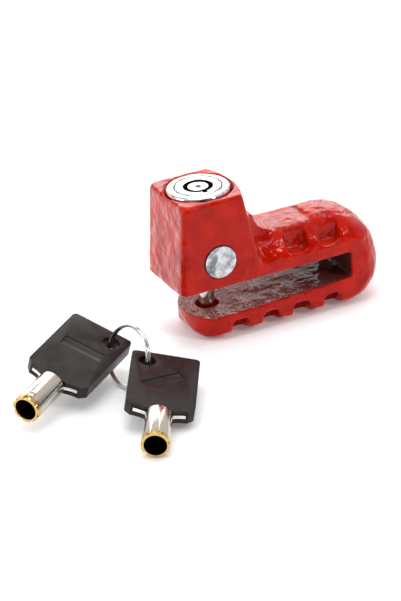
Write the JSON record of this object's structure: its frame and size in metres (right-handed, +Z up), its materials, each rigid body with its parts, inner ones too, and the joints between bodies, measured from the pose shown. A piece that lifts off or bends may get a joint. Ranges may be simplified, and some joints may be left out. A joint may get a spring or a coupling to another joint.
{
  "type": "disc brake lock",
  "caption": "U-shaped brake disc lock with a push-down tubular lock cylinder, a steel locking pin, and keys on a split ring.",
  "frame": {"origin": "on the locking pin's axis, at the plane that the lock rests on", "axes": "+Z up through the lock cylinder, +X along the jaws towards the bend, -Y towards the side with the round plug"},
  "size_m": [0.1498, 0.0928, 0.0533],
  "materials": {
    "red_lacquer": "glossy clear lacquer over a slightly dimpled die casting",
    "chrome": "bright chrome plate",
    "zinc_steel": "zinc plated, slightly blotchy",
    "steel": "machined steel",
    "pin_steel": "ground hardened steel",
    "spring_steel": "drawn spring wire",
    "ring_steel": "nickel plated spring wire",
    "brass": "turned brass",
    "nickel": "nickel plate, brass-coloured at the cut mouth",
    "black_plastic": "satin moulded plastic"
  },
  "bodies": {
    "casting": {"lock_body": "red_lacquer", "side_plug": "zinc_steel", "stop_pin": "steel", "return_spring": "spring_steel"},
    "barrel": {"barrel": "chrome", "core_screw": "steel", "core_shell": "chrome", "pin_sleeve": "brass", "sleeve_pin": "steel", "driver_pins": "steel", "pin_springs": "spring_steel", "locking_pin": "pin_steel", "latch_spring": "spring_steel"},
    "key_drive": {"spindle": "chrome", "key_pins": "steel", "cam": "steel", "cam_screw": "steel"},
    "latch": {"latch": "steel"},
    "ring": {"key_ring": "ring_steel"},
    "key_a": {"key_a_head": "black_plastic", "key_a_plate": "steel", "key_a_tube": "nickel"},
    "key_b": {"key_b_head": "black_plastic", "key_b_plate": "steel", "key_b_tube": "nickel"}
  },
  "joints": [
    {"name": "barrel_slide", "type": "slide", "parent": "casting", "child": "barrel", "axis": [0, 0, 1], "range_m": [0, 0.015], "deforming": ["return_spring"]},
    {"name": "key_turn", "type": "hinge", "parent": "barrel", "child": "key_drive", "pos_m": [0, 0, 0.045], "axis": [0, 0, -1], "range_deg": [0, 50]},
    {"name": "latch_slide", "type": "slide", "parent": "barrel", "child": "latch", "axis": [0, 1, 0], "range_m": [0, 0.0022]},
    {"name": "ring_lift", "type": "slide", "parent": "casting", "child": "ring", "axis": [0, 0, 1], "range_m": [0, 0.03]},
    {"name": "key_a_swing", "type": "hinge", "parent": "ring", "child": "key_a", "pos_m": [-0.039, -0.0341, 0.01], "axis": [0.32, -0.09, 0.9431], "range_deg": [-12, 12]},
    {"name": "key_b_swing", "type": "hinge", "parent": "ring", "child": "key_b", "pos_m": [-0.0434, -0.0147, 0.0099], "axis": [0.32, -0.09, 0.9431], "range_deg": [-12, 12]}
  ],
  "couplings": [
    {"joint": "key_turn", "follows": "latch_slide", "rad_per_m": 396.6}
  ]
}
